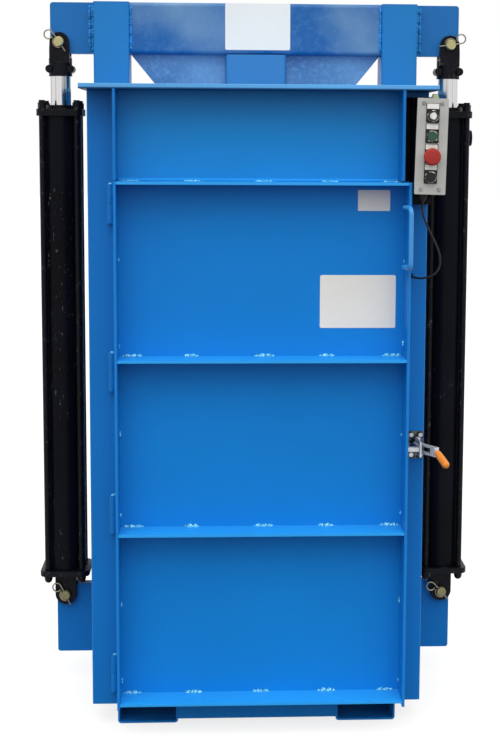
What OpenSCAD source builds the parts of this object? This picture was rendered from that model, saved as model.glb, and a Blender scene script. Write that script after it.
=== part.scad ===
// Upright hydraulic drum crusher: welded frame, hinged door with a toggle latch,
// crosshead pulled down by two side cylinders, platen on a central ram tube.
// X to the right seen from the door side, Y to the back, Z up, floor at Z = 0.
// The origin is the middle of the footprint, in the plane of the two cylinders.

/* [Frame] */
// Width over the front posts
body_w = 800; // [760:1:900]
// Depth over the posts
body_d = 620; // [600:1:760]
// Height of the top plate's upper face above the floor
top_z = 1543; // [1420:1:1850]
// Clear width between the guide columns
chamber_w = 616; // [590:1:640]
// Thickness of the chamber floor plate
floor_t = 12; // [8:1:20]
// Thickness of the top plate
top_t = 12; // [8:1:20]
// Thickness of the side, back and header sheets
sheet_t = 6; // [4:0.5:8]
// Depth of a corner post
post_d = 76; // [60:1:90]
// Wall of the corner posts
post_wall = 5; // [4:0.5:8]
// Outside corner radius of posts and columns
post_r = 4; // [3:0.5:8]
// Wall of the guide columns
column_wall = 6; // [5:0.5:10]

/* [Base] */
// Width of a fork pocket tube
pocket_w = 146; // [120:1:180]
// Height of a fork pocket tube
pocket_h = 50; // [44:1:80]
// Wall of the fork pocket tubes
pocket_wall = 5; // [4:0.5:8]
// Centre distance of the fork pockets
pocket_cc = 532; // [480:1:600]
// Gap between the base bars and the floor
bar_lift = 10; // [5:1:20]

/* [Door] */
// Left edge of the door from the middle of the machine
door_left = 335; // [325:1:340]
// Right edge of the door from the middle of the machine
door_right = 352; // [340:1:356]
// Lower edge of the door above the floor
door_bottom = 65; // [60:1:100]
// Height of the door
door_h = 1255.5; // [1100:0.5:1300]
// Height of the lowest shelf bar above the door's lower edge
shelf_rise = 9; // [6:1:30]
// Depth of the flat bars on the door's face
bar_d = 76; // [50:1:90]
// Thickness of the flat bars
bar_t = 6.4; // [4:0.1:10]
// Gap between the closed door and the frame
door_gap = 1; // [0.5:0.5:3]
// Gap between the door and the header above it
header_gap = 3.5; // [2:0.5:8]
// Heights of the hinge middles above the floor
hinge_z = [132, 526, 870, 1267];
// Height of one hinge, two knuckles
hinge_h = 92; // [60:1:110]
// Outside radius of the hinge barrels
hinge_r = 9.5; // [8.5:0.5:10.5]
// Radius of the hinge pins
hinge_pin_r = 5; // [4:0.5:5.5]
// Diameter of the handle bar
handle_bar = 11; // [9:0.5:14]
// Height of the handle's middle above the floor
handle_z = 1194; // [1000:1:1220]
// Centre distance of the handle's legs
handle_cc = 138; // [110:1:180]

/* [Crosshead] */
// Gap between the top plate and the crosshead when it is down
cross_gap = 85; // [60:1:110]
// Height of the crosshead beam
cross_h = 127; // [110:1:160]
// Depth of the crosshead beam and of the ram tube
beam_d = 76; // [66:1:90]
// Width of a guide post
guide_w = 88.9; // [80:0.1:89]
// Depth of a guide post
guide_d = 101.6; // [90:0.1:110]
// Running gap between a guide post and its column
guide_gap = 1.5; // [1:0.5:3]
// Height of the guide posts' lower ends above the floor
guide_bottom = 90; // [70:1:140]
// Width of the ram tube
ram_w = 152; // [140:1:180]
// Wall of the crosshead's tubes
ram_wall = 8; // [6:1:12]
// Thickness of the wing plates and gussets
web_t = 25.4; // [20:0.1:26]
// Distance that a wing passes the cylinder's axis
wing_past = 23.5; // [20:0.5:36]
// Height of the gusset plates below the beam
gusset_h = 290; // [240:1:320]
// Height of the platen's lower face above the floor
platen_z = 172; // [140:1:220]
// Thickness of the platen's plate
platen_t = 19; // [14:1:25]
// Gap around the platen in the chamber
platen_gap = 8; // [5:1:12]

/* [Cylinders] */
// Gap from the guide column's side to a cylinder's axis
cyl_gap = 79.1; // [76:0.1:90]
// Bore of the cylinder tubes
bore_d = 88.9; // [76:0.1:92]
// Outside diameter of the cylinder tubes
tube_d = 101.6; // [98:0.1:104]
// Diameter of the piston rods
rod_d = 50.8; // [44:0.1:56]
// Diameter of the clevis pins
pin_d = 25.4; // [22:0.1:26]
// Height of the lower pins above the floor
low_pin_z = 237; // [220:1:260]
// Height of the cylinder head's upper face above the floor
head_z = 1490; // [1380:1:1500]
// Side of the square heads and caps
head_w = 114.3; // [112:0.1:124]
// Distance of the tie rods from the cylinder's axis, along X and along Y
tie_off = 43; // [42.5:0.5:46]
// Diameter of the tie rods
tie_d = 16; // [10:1:17]

/* [Control station] */
// Width of the control box
box_w = 72; // [66:1:80]
// Height of the control box
box_h = 219; // [200:1:240]
// Depth of the control box with its cover
box_d = 62; // [50:1:80]
// Gap between the door and the box's nearest corner
box_gap = 1.8; // [1:0.1:6]
// Height of the box's middle above the floor
box_z = 1404; // [1300:1:1410]
// Lean of the box, top to the right
box_lean = 1.4; // [0:0.1:3]
// Spacing of the four devices
device_pitch = 46.2; // [42:0.1:48]
// Diameter of the stop button's mushroom head
stop_d = 40; // [35:1:42]

/* [Power unit] */
// Width of the oil reservoir
tank_w = 420; // [360:1:500]
// Depth of the oil reservoir
tank_d = 160; // [140:1:200]
// Height of the oil reservoir
tank_h = 380; // [300:1:420]
// Height of the reservoir's lower face above the floor
tank_z = 520; // [400:1:600]
// Diameter of the motor's shell
motor_d = 146; // [120:1:150]

/* [Hidden] */
$fn = 64;

paint = [0.09, 0.42, 0.76];
gloss_black = [0.05, 0.05, 0.06];
zinc = [0.78, 0.75, 0.52];
bright_steel = [0.78, 0.79, 0.8];
machine_grey = [0.68, 0.69, 0.68];

// frame planes
front_y = -body_d / 2;
rear_y = body_d / 2;
base_z = pocket_h;
under_top = top_z - top_t;
floor_z = base_z + floor_t;
frame_h = under_top - base_z;
post_w = (body_w - chamber_w) / 2;
post_x = chamber_w / 2 + post_w / 2;
column_w = guide_w + 2 * guide_gap + 2 * column_wall;
column_d = guide_d + 2 * guide_gap + 2 * column_wall;
column_x = chamber_w / 2 + column_w / 2;
column_out = column_x + column_w / 2;
column_proud = 11.9;
side_x = min(body_w / 2, column_out - column_proud) - post_r;
top_half = max(body_w / 2, column_out);
cyl_x = top_half + cyl_gap;
wing_end = cyl_x + wing_past;
back_in_y = rear_y - post_r - sheet_t;
pocket_x = pocket_cc / 2;

// door planes
door_back_y = front_y - door_gap;
door_skin_y = door_back_y - sheet_t;
door_face_y = door_skin_y - bar_d;
door_top = door_bottom + door_h;
shelf_pitch = (door_h - shelf_rise - bar_t) / 3;
header_z = door_top + header_gap;
hinge_gap = 0.5;
hinge_x = -door_left - hinge_r - hinge_gap;
hinge_y = front_y - hinge_r - hinge_gap;
knuckle_gap = 0.5;
running_fit = 0.05;

// crosshead planes
cross_z = top_z + cross_gap;
cross_top = cross_z + cross_h;
guide_x = column_x;
guide_in = guide_x - guide_w / 2;
guide_out = guide_x + guide_w / 2;
gusset_reach = guide_in - 1.5;
gusset_slope = (gusset_reach - ram_w / 2) / gusset_h;
gusset_at_top = gusset_reach - cross_gap * gusset_slope;
web_gap = 4;
platen_top = platen_z + platen_t;
beam_r = 10;

// cylinder stations
high_pin_z = cross_z + 28.5;
eye_r = 24;
ear_gap = 1;
ear_t = 15.3;
slot_w = web_t + 2 * ear_gap;
clevis_d = slot_w + 2 * ear_t;
rod_ear_w = 50;
cap_ear_w = 55;
cap_eye_r = cap_ear_w / 2;
cap_z = low_pin_z + 55;
cap_t = 14.5;
cap_w = head_w + 11.7;
tube_z = cap_z + cap_t;
head_t = 17;
tube_top = head_z - head_t;
gland_h = 10;
gland_r = 38;
nut_r = 10.6;
nut_h = 16;
nut_low = 10;
dome_r = 9.8;
port_r = 9.5;
port_low = 27;
port_high = 50;
boss_r = 20;
boss_proud = 12;
piston_z = tube_z + port_low + port_r + 2.5;
piston_h = 46;
stud_d = 38;
nut_past = 6;
rod_end_z = high_pin_z - 84.5;
pin_out = 15;
pin_chamfer = 2.5;
clip_wire = 3.6;
clip_ring = 11;
clip_in = 8;
high_turn = [-124, -8];
low_turn = [-116, -131];
socket_deep = 38;

// control station
bracket_wall = 3;
box_x = door_right + box_gap + box_w / 2 + box_h / 2 * sin(box_lean);
box_back_y = door_face_y + 45;
box_face_y = box_back_y - box_d;
cover_t = 3;
legend_w = 30.6;
legend_pitch_h = device_pitch - 2;
legend_y = box_face_y - 1.5;
bezel_r = 13.5;
bezel_h = 3;
shaft_r = 9;
hole_r = 11;

// latch, all placed from its pivot
latch_z = 690;
latch_x = body_w / 2 - 20;
latch_y = front_y - 31;
crank_r = 18;
crank_a = 80;
hook_x = latch_x + crank_r * cos(crank_a);
hook_y = latch_y + crank_r * sin(crank_a);
hook_rod = 6;
keeper_y = door_face_y + 21;
keeper_half = 5;
hook_play = 1;
hook_reach = hook_y - keeper_y + hook_rod / 2 + hook_play;
lug_half = 6;
lever_in = 7;
lever_out = 11;
hook_half = 16;
grip_root = [38, -60, 0];
grip_tip = [52, -126, -19];

// cable, from the gland under the control box to the grommet on the front post
cable_d = 5;
cable_route = [[378, -379, 1278], [378, -379, 1262], [380, -379, 1246], [386, -379, 1230],
    [393, -379, 1214], [401, -379, 1198], [409, -379, 1182], [416, -378, 1166],
    [421, -376, 1149], [422, -373, 1132], [418, -368, 1117], [409, -361, 1106],
    [397, -352, 1099], [384, -343, 1095], [373, -334, 1095], [365, -325, 1097],
    [361, -316, 1099], [361, -312, 1099]];

module span(x, y, z) {
    translate([x[0], y[0], z[0]]) cube([x[1] - x[0], y[1] - y[0], z[1] - z[0]]);
}

module both_sides() {
    children();
    mirror([1, 0, 0]) children();
}

module rounded(w, d, r) {
    square([w - 2 * r, d], center = true);
    square([w, d - 2 * r], center = true);
    for (x = [-1, 1], y = [-1, 1])
        translate([x * (w / 2 - r), y * (d / 2 - r)]) circle(r);
}

module tube_section(w, d, wall, r) {
    difference() {
        rounded(w, d, r);
        rounded(w - 2 * wall, d - 2 * wall, max(r - wall, 1));
    }
}

// a flat outline drawn in X and Z, made solid from y[0] to y[1]
module plate_xz(y) {
    translate([0, y[1], 0]) rotate([90, 0, 0]) linear_extrude(y[1] - y[0]) children();
}

// a flat outline drawn in Y and Z, made solid from x[0] to x[1]
module plate_yz(x) {
    translate([x[0], 0, 0]) rotate([90, 0, 90]) linear_extrude(x[1] - x[0]) children();
}

module along_y(r, y) {
    translate([0, y[1], 0]) rotate([90, 0, 0]) cylinder(r = r, h = y[1] - y[0]);
}

// ---------- frame ----------

module base_plate() {
    color(paint)
        span([-chamber_w / 2, chamber_w / 2], [front_y + post_r, back_in_y], [base_z, floor_z]);
}

module base_bars() {
    inner = pocket_x - pocket_w / 2;
    color(paint)
        for (y = [front_y, rear_y - 10])
            span([-inner, inner], [y, y + 10], [bar_lift, base_z]);
}

module fork_pockets() {
    color(paint) both_sides()
        translate([pocket_x, rear_y, pocket_h / 2]) rotate([90, 0, 0])
            linear_extrude(body_d) tube_section(pocket_w, pocket_h, pocket_wall, 8);
}

module corner_posts() {
    color(paint) both_sides()
        for (y = [front_y + post_d / 2, rear_y - post_d / 2])
            translate([post_x, y, base_z])
                linear_extrude(frame_h) tube_section(post_w, post_d, post_wall, post_r);
}

module guide_columns() {
    color(paint) both_sides()
        translate([column_x, 0, base_z])
            linear_extrude(frame_h) tube_section(column_w, column_d, column_wall, post_r);
}

// sheets that fill the bays between the posts and a column
module bay_sheets(x) {
    for (side = [-1, 1])
        span(x, side < 0 ? [front_y + post_d, -column_d / 2] : [column_d / 2, rear_y - post_d],
            [base_z, under_top]);
}

module side_sheets() {
    color(paint) both_sides() bay_sheets([side_x - sheet_t, side_x]);
}

module chamber_liners() {
    in = chamber_w / 2 + post_r;
    color(paint) both_sides() bay_sheets([in, in + sheet_t]);
}

module back_sheet() {
    color(paint)
        span([-chamber_w / 2, chamber_w / 2], [back_in_y, back_in_y + sheet_t],
            [base_z, under_top]);
}

module top_plate() {
    color(paint) difference() {
        span([-top_half, top_half], [door_face_y, rear_y], [under_top, top_z]);
        both_sides() translate([guide_x, 0, under_top - 1])
            linear_extrude(top_t + 2)
                rounded(guide_w + 2 * guide_gap, guide_d + 2 * guide_gap, 1);
        translate([0, 0, under_top - 1]) linear_extrude(top_t + 2) {
            rounded(ram_w + 2 * web_gap, beam_d + 2 * web_gap, beam_r + web_gap);
            square([2 * (gusset_at_top + web_gap), web_t + 2 * web_gap], center = true);
        }
    }
}

module header_panel() {
    color(paint)
        span([-door_left, door_left], [front_y - sheet_t, front_y], [header_z, under_top]);
}

module header_flanges() {
    color(paint) both_sides()
        span([door_left - bar_t, door_left], [door_face_y, front_y - sheet_t],
            [header_z, under_top]);
}

module lug_plates() {
    foot_z = 78;
    out = cyl_x + eye_r;
    corner = 7;
    color(paint) both_sides() plate_xz([-web_t / 2, web_t / 2]) difference() {
        union() {
            translate([column_out, foot_z + corner])
                square([out - column_out, low_pin_z - foot_z - corner]);
            translate([column_out, foot_z]) square([out - column_out - corner, corner]);
            translate([out - corner, foot_z + corner]) circle(corner);
            translate([cyl_x, low_pin_z]) circle(eye_r);
            translate([column_out, low_pin_z]) square([cyl_x - column_out, eye_r]);
        }
        translate([cyl_x, low_pin_z]) circle(pin_d / 2);
    }
}

// ---------- door and hinges ----------

// one barrel with a tab to what carries it
module knuckle(z, h, bore, tab_x, tab_y) {
    translate([hinge_x, hinge_y, z]) difference() {
        union() {
            cylinder(r = hinge_r, h = h);
            span(tab_x, tab_y, [0, h]);
        }
        translate([0, 0, -1]) cylinder(r = bore, h = h + 2);
    }
}

module frame_knuckles() {
    color(paint)
        for (z = hinge_z)
            knuckle(z - hinge_h / 2, hinge_h / 2, hinge_pin_r,
                [-6, 4], [0, front_y - hinge_y]);
}

module door_knuckles() {
    color(paint)
        for (z = hinge_z)
            knuckle(z + knuckle_gap, hinge_h / 2 - knuckle_gap, hinge_pin_r + running_fit,
                [0, -door_left - hinge_x], [door_skin_y - hinge_y - 8, door_skin_y - hinge_y]);
}

module hinge_pins() {
    color(bright_steel)
        for (z = hinge_z)
            translate([hinge_x, hinge_y, z - hinge_h / 2]) {
                cylinder(r = hinge_pin_r, h = hinge_h + 1);
                translate([0, 0, hinge_h + 1]) cylinder(r1 = hinge_pin_r, r2 = hinge_pin_r - 2, h = 2);
            }
}

module door_sheet() {
    color(paint)
        span([-door_left, door_right], [door_skin_y, door_back_y], [door_bottom, door_top]);
}

module door_flanges() {
    color(paint)
        for (x = [-door_left, door_right - bar_t])
            span([x, x + bar_t], [door_face_y, door_skin_y], [door_bottom, door_top]);
}

module door_shelves() {
    color(paint)
        for (i = [0 : 3])
            translate([0, 0, door_bottom + shelf_rise + i * shelf_pitch])
                span([bar_t - door_left, door_right - bar_t], [door_face_y, door_skin_y],
                    [0, bar_t]);
}

// round bar bent to a U, its legs welded beside the right flange
module door_handle() {
    bar_r = handle_bar / 2;
    stand = 57;
    bend = 14;
    turn = 8;
    foot_x = door_right - bar_t - bar_r - 3;
    foot_y = door_face_y + 14;
    weld = 3;
    color(paint)
        translate([foot_x, foot_y, handle_z]) rotate([0, 0, turn]) {
            for (s = [-1, 1]) {
                translate([0, bend - stand, s * handle_cc / 2]) rotate([-90, 0, 0])
                    cylinder(r = bar_r, h = stand - bend);
                translate([0, bend - stand, s * (handle_cc / 2 - bend)])
                    rotate([0, -90, 0]) rotate([0, 0, s > 0 ? 270 : 180])
                        rotate_extrude(angle = 90) translate([bend, 0]) circle(bar_r);
            }
            translate([0, -stand, bend - handle_cc / 2])
                cylinder(r = bar_r, h = handle_cc - 2 * bend);
        }
    color(paint)
        for (s = [-1, 1])
            translate([foot_x, foot_y, handle_z + s * handle_cc / 2])
                span([0, bar_r + weld], [-12, -2], [-bar_r, bar_r]);
}

module latch_keeper() {
    color(bright_steel)
        span([door_right, hook_x + hook_rod / 2], [keeper_y, keeper_y + 12],
            [latch_z - keeper_half, latch_z + keeper_half]);
}

// ---------- latch ----------

module latch_base() {
    plate_t = 3;
    plate_half = 33;
    bolt_x = 11;
    bolt_z = 24;
    color(bright_steel) {
        span([latch_x - 18, latch_x + 18], [front_y - plate_t, front_y],
            [latch_z - plate_half, latch_z + plate_half]);
        span([latch_x - 9, latch_x + 9], [latch_y, front_y - plate_t],
            [latch_z - lug_half, latch_z + lug_half]);
        translate([latch_x, latch_y, latch_z - lug_half]) cylinder(r = 9, h = 2 * lug_half);
        translate([latch_x, latch_y, latch_z - lever_out])
            cylinder(r = 4, h = 2 * lever_out);
        for (x = [-bolt_x, bolt_x], z = [-bolt_z, bolt_z])
            translate([latch_x + x, front_y - plate_t, latch_z + z])
                rotate([90, 0, 0]) cylinder(r = 5.6, h = 4.5, $fn = 6);
    }
}

module latch_lever() {
    arm_w = 13;
    arm_len = norm([grip_root[0], grip_root[1]]);
    arm_a = atan2(grip_root[1], grip_root[0]);
    color(bright_steel) translate([latch_x, latch_y, latch_z]) {
        for (s = [-1, 1])
            translate([0, 0, s > 0 ? lever_in : -lever_out]) difference() {
                linear_extrude(lever_out - lever_in) {
                    circle(9);
                    rotate(crank_a) translate([0, -6]) square([crank_r, 12]);
                    rotate(crank_a) translate([crank_r, 0]) circle(6);
                    rotate(arm_a) translate([0, -arm_w / 2]) square([arm_len, arm_w]);
                }
                translate([0, 0, -1]) cylinder(r = 4 + running_fit, h = 10);
            }
        rotate([0, 0, arm_a])
            span([arm_len - 16, arm_len], [-arm_w / 2, arm_w / 2], [-lever_in, lever_in]);
        for (s = [-1, 1])
            rotate([0, 0, crank_a]) translate([crank_r, 0, s > 0 ? lever_out : -hook_half - 5])
                cylinder(r = 3, h = hook_half + 5 - lever_out);
        aim(grip_root, grip_tip) translate([0, 0, -6]) cylinder(r = 4, h = 60);
    }
}

// turns +Z to the line from a to b, starting at a
module aim(a, b) {
    d = b - a;
    translate(a) rotate([0, acos(d[2] / norm(d)), atan2(d[1], d[0])]) children();
}

module latch_grip() {
    len = norm(grip_tip - grip_root);
    color([0.94, 0.54, 0.17]) translate([latch_x, latch_y, latch_z])
        aim(grip_root, grip_tip) difference() {
            rotate_extrude() polygon(concat(
                [[0, 4], [7, 4], [8, 7], [8.6, 30]],
                [for (a = [0 : 15 : 90]) [8.8 * cos(a), len - 8.8 + 8.8 * sin(a)]]));
            translate([0, 0, -1]) cylinder(r = 4, h = 55);
        }
}

// U of round bar whose eyes turn on the lever's stub pins
module latch_hook() {
    r = hook_rod / 2;
    color(bright_steel) translate([hook_x, hook_y, latch_z]) {
        for (s = [-1, 1])
            translate([0, 0, s * hook_half]) difference() {
                union() {
                    translate([0, 0, -r]) cylinder(r = 6.5, h = hook_rod);
                    translate([0, -4, 0]) along_y(r, [4 - hook_reach, 0]);
                }
                translate([0, 0, -r - 1]) cylinder(r = 3 + running_fit, h = hook_rod + 2);
            }
        translate([0, -hook_reach, -hook_half]) cylinder(r = r, h = 2 * hook_half);
        for (s = [-1, 1])
            translate([0, -hook_reach, s * hook_half]) sphere(r);
    }
}

// ---------- crosshead ----------

module crosshead_beam() {
    color(paint)
        translate([-guide_in, 0, cross_z + cross_h / 2]) rotate([90, 0, 90])
            linear_extrude(2 * guide_in) tube_section(beam_d, cross_h, ram_wall, beam_r);
}

module wing_plates() {
    corner = 8;
    color(paint) both_sides() plate_xz([-web_t / 2, web_t / 2]) difference() {
        union() {
            translate([guide_out, cross_z]) square([wing_end - corner - guide_out, cross_h]);
            translate([guide_out, cross_z + corner])
                square([wing_end - guide_out, cross_h - 2 * corner]);
            for (z = [cross_z + corner, cross_top - corner])
                translate([wing_end - corner, z]) circle(corner);
        }
        translate([cyl_x, high_pin_z]) circle(pin_d / 2);
    }
}

module guide_posts() {
    cap_plate = 8;
    color(paint) both_sides() translate([guide_x, 0, guide_bottom]) difference() {
        linear_extrude(cross_top - guide_bottom) rounded(guide_w, guide_d, 6);
        translate([0, 0, -1]) linear_extrude(cross_top - guide_bottom - cap_plate + 1)
            rounded(guide_w - 2 * ram_wall, guide_d - 2 * ram_wall, 2);
    }
}

module ram_tube() {
    color(paint)
        translate([0, 0, platen_top]) linear_extrude(cross_z - platen_top)
            tube_section(ram_w, beam_d, ram_wall, beam_r);
}

module gusset_plates() {
    color(paint) both_sides() plate_xz([-web_t / 2, web_t / 2])
        polygon([[ram_w / 2, cross_z], [gusset_reach, cross_z], [ram_w / 2, cross_z - gusset_h]]);
}

module platen() {
    half_w = chamber_w / 2 - platen_gap;
    mid_y = (door_back_y + back_in_y) / 2;
    half_d = (back_in_y - door_back_y) / 2 - platen_gap;
    rib_t = 12;
    rib_h = 110;
    rib_low = 25;
    color(paint) {
        span([-half_w, half_w], [mid_y - half_d, mid_y + half_d], [platen_z, platen_top]);
        both_sides() plate_xz([-rib_t / 2, rib_t / 2])
            polygon([[ram_w / 2, platen_top], [half_w - 10, platen_top],
                [half_w - 10, platen_top + rib_low], [ram_w / 2, platen_top + rib_h]]);
        for (s = [0, 1]) mirror([0, s, 0]) plate_yz([-rib_t / 2, rib_t / 2])
            polygon([[beam_d / 2, platen_top], [half_d - 15, platen_top],
                [half_d - 15, platen_top + rib_low], [beam_d / 2, platen_top + rib_h]]);
    }
}

// ---------- cylinders ----------

// the tube with its two port bosses; turn aims the upper port
module cylinder_tube(turn) {
    port_in = 4;
    boss_out = tube_d / 2 + boss_proud;
    difference() {
        union() {
            translate([0, 0, tube_z]) cylinder(r = tube_d / 2, h = tube_top - tube_z);
            for (port = [[turn, tube_top - port_high], [90, tube_z + port_low]])
                rotate([0, 0, port[0]]) translate([0, 0, port[1]])
                    rotate([0, 90, 0]) cylinder(r = boss_r, h = boss_out);
        }
        translate([0, 0, tube_z - 1]) cylinder(r = bore_d / 2, h = tube_top - tube_z + 2);
        for (port = [[turn, tube_top - port_high], [90, tube_z + port_low]])
            rotate([0, 0, port[0]]) translate([bore_d / 2 - port_in, 0, port[1]])
                rotate([0, 90, 0]) cylinder(r = port_r, h = boss_out);
    }
}

module cylinder_tubes() {
    color(gloss_black) {
        translate([-cyl_x, 0, 0]) cylinder_tube(90);
        translate([cyl_x, 0, 0]) cylinder_tube(0);
    }
}

module tie_holes(z, h) {
    for (x = [-1, 1], y = [-1, 1])
        translate([x * tie_off, y * tie_off, z]) cylinder(r = tie_d / 2, h = h);
}

module cylinder_heads() {
    color(gloss_black) both_sides() translate([cyl_x, 0, 0]) difference() {
        union() {
            translate([0, 0, tube_top]) linear_extrude(head_t) rounded(head_w, head_w, 15);
            translate([0, 0, head_z]) cylinder(r = gland_r, h = gland_h);
        }
        translate([0, 0, tube_top - 1])
            cylinder(r = rod_d / 2 + running_fit, h = head_t + gland_h + 2);
        tie_holes(tube_top - 1, head_t + 2);
    }
}

// outline of a clevis ear: round about the pin, wider where it meets the body
module ear_outline(pin_z, body_z, w, r) {
    way = body_z > pin_z ? 1 : -1;
    translate([0, pin_z]) circle(r);
    polygon([[-r, pin_z], [r, pin_z], [w / 2, pin_z + way * 20],
        [w / 2, body_z], [-w / 2, body_z], [-w / 2, pin_z + way * 20]]);
}

module cylinder_caps() {
    slot_top = low_pin_z + eye_r + 3;
    color(gloss_black) both_sides() translate([cyl_x, 0, 0]) difference() {
        union() {
            translate([0, 0, cap_z]) linear_extrude(cap_t) rounded(cap_w, cap_w, 21);
            plate_xz([-clevis_d / 2, clevis_d / 2]) ear_outline(low_pin_z, cap_z, cap_ear_w, cap_eye_r);
        }
        span([-cap_ear_w, cap_ear_w], [-slot_w / 2, slot_w / 2],
            [low_pin_z - cap_eye_r - 1, slot_top]);
        translate([0, 0, low_pin_z]) along_y(pin_d / 2, [-clevis_d, clevis_d]);
        tie_holes(cap_z - 1, cap_t + 2);
    }
}

// four rods with a hexagon nut above the head and a domed nut below the cap
module tie_rods() {
    color(gloss_black) both_sides() translate([cyl_x, 0, 0])
        for (x = [-1, 1], y = [-1, 1]) translate([x * tie_off, y * tie_off, 0]) {
            translate([0, 0, cap_z - 6])
                cylinder(r = tie_d / 2, h = head_z + nut_h + nut_past - cap_z + 6);
            translate([0, 0, head_z]) cylinder(r = nut_r, h = nut_h, $fn = 6);
            translate([0, 0, cap_z]) rotate([180, 0, 0]) rotate_extrude()
                polygon(concat([[0, 0]],
                    [for (a = [0 : 15 : 90]) [dome_r * cos(a), nut_low + dome_r * sin(a)]]));
            translate([0, 0, cap_z - nut_low]) cylinder(r = nut_r, h = nut_low, $fn = 6);
        }
}

module pistons() {
    piston_r = bore_d / 2 - 0.1;
    color(bright_steel) both_sides() translate([cyl_x, 0, piston_z]) difference() {
        cylinder(r = piston_r, h = piston_h);
        for (z = [9, 29]) translate([0, 0, z]) difference() {
            cylinder(r = piston_r + 1, h = 8);
            translate([0, 0, -1]) cylinder(r = piston_r - 4, h = 10);
        }
        translate([0, 0, -1]) cylinder(r = stud_d / 2, h = piston_h + 2);
    }
}

module piston_rods() {
    shoulder = piston_z + piston_h;
    color(bright_steel) both_sides() translate([cyl_x, 0, 0]) {
        translate([0, 0, shoulder]) cylinder(r = rod_d / 2, h = rod_end_z - shoulder);
        translate([0, 0, piston_z]) cylinder(r = stud_d / 2, h = piston_h);
        translate([0, 0, rod_end_z]) cylinder(r = stud_d / 2, h = socket_deep);
    }
}

// cast clevis clamped on the rod's end by two cross bolts
module rod_clevises() {
    slot_low = cross_z - 6;
    clamp_z = rod_end_z + 18;
    clamp_x = 26;
    clamp_r = 10;
    color(gloss_black) both_sides() translate([cyl_x, 0, 0]) difference() {
        union() {
            plate_xz([-clevis_d / 2, clevis_d / 2])
                ear_outline(high_pin_z, slot_low - 18, rod_ear_w, eye_r);
            translate([0, 0, rod_end_z]) cylinder(r = 29, h = slot_low - rod_end_z - 5);
            for (x = [-clamp_x, clamp_x]) translate([x, 0, clamp_z]) {
                along_y(clamp_r, [-22, 22]);
                translate([0, -22, 0]) rotate([90, 0, 0]) cylinder(r = 7.5, h = 5, $fn = 6);
            }
        }
        span([-rod_ear_w, rod_ear_w], [-slot_w / 2, slot_w / 2],
            [slot_low, high_pin_z + eye_r + 1]);
        translate([0, 0, high_pin_z]) along_y(pin_d / 2, [-clevis_d, clevis_d]);
        translate([0, 0, rod_end_z - 1]) cylinder(r = stud_d / 2, h = socket_deep + 1);
    }
}

// headed pin along Y, its cross hole in front of the clevis
module clevis_pin(turn) {
    difference() {
        union() {
            along_y(pin_d / 2, [-clevis_d / 2 - pin_out + pin_chamfer, clevis_d / 2]);
            translate([0, -clevis_d / 2 - pin_out, 0]) rotate([-90, 0, 0])
                cylinder(r1 = pin_d / 2 - pin_chamfer, r2 = pin_d / 2, h = pin_chamfer);
            along_y(pin_d / 2 + 5, [clevis_d / 2, clevis_d / 2 + 6]);
        }
        translate([0, -clevis_d / 2 - clip_in, 0]) rotate([0, turn, 0])
            translate([-pin_d, 0, 0]) rotate([0, 90, 0])
                cylinder(r = clip_wire / 2, h = 2 * pin_d);
    }
}

// hairpin clip: straight leg through the pin, bowed leg round it, ring at one end
module hairpin(turn) {
    r = clip_wire / 2;
    bow = pin_d / 2 + r;
    ring = clip_ring;
    ring_x = bow + 14;
    translate([0, -clevis_d / 2 - clip_in, 0]) rotate([0, turn, 0]) {
        translate([-bow - 14, 0, 0]) rotate([0, 90, 0]) cylinder(r = r, h = ring_x + bow + 14);
        translate([ring_x, 0, ring]) rotate([90, 0, 0]) rotate([0, 0, -90])
            rotate_extrude(angle = 300) translate([ring, 0]) circle(r);
        rotate([90, 0, 0]) rotate([0, 0, 20])
            rotate_extrude(angle = 140) translate([bow, 0]) circle(r);
    }
}

module at_each_pin(z) {
    for (i = [0, 1]) translate([(2 * i - 1) * cyl_x, 0, z]) children(i);
}

module upper_pins() {
    color(zinc) at_each_pin(high_pin_z) {
        clevis_pin(high_turn[0]);
        clevis_pin(high_turn[1]);
    }
}

module lower_pins() {
    color(zinc) at_each_pin(low_pin_z) {
        clevis_pin(low_turn[0]);
        clevis_pin(low_turn[1]);
    }
}

module upper_clips() {
    color(bright_steel) at_each_pin(high_pin_z) {
        hairpin(high_turn[0]);
        hairpin(high_turn[1]);
    }
}

module lower_clips() {
    color(bright_steel) at_each_pin(low_pin_z) {
        hairpin(low_turn[0]);
        hairpin(low_turn[1]);
    }
}

// ---------- control station ----------

module at_box() {
    translate([box_x, 0, box_z]) rotate([0, box_lean, 0]) children();
}

// place i = 0 is the top device
module at_device(i) {
    at_box() translate([0, 0, (1.5 - i) * device_pitch]) children();
}

// folded channel between the front post and the box, its plate wider above the door
module control_bracket() {
    left = door_right + 4;
    right = left + 46;
    low = box_z - box_h / 2 - 26;
    high = box_z + box_h / 2 + 4;
    color(gloss_black) {
        span([left, right], [box_back_y, box_back_y + bracket_wall], [low, high]);
        for (x = [left, right - bracket_wall])
            span([x, x + bracket_wall],
                [box_back_y + bracket_wall, front_y - bracket_wall], [low, high]);
        span([left, right], [front_y - bracket_wall, front_y], [low, high]);
        span([door_left + 6, left], [front_y - bracket_wall, front_y], [header_z, high]);
    }
}

module box_outline() {
    rounded(box_w, box_h, 3);
}

module control_box() {
    wall = 2.5;
    color(gloss_black) at_box() difference() {
        plate_xz([box_face_y + cover_t, box_back_y]) box_outline();
        plate_xz([box_face_y + cover_t - 1, box_back_y - wall])
            rounded(box_w - 2 * wall, box_h - 2 * wall, 2);
    }
}

module control_cover() {
    color(machine_grey) difference() {
        at_box() plate_xz([box_face_y, box_face_y + cover_t]) box_outline();
        for (i = [0 : 3])
            at_device(i) along_y(hole_r, [box_face_y - 1, box_face_y + cover_t + 1]);
    }
}

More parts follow.
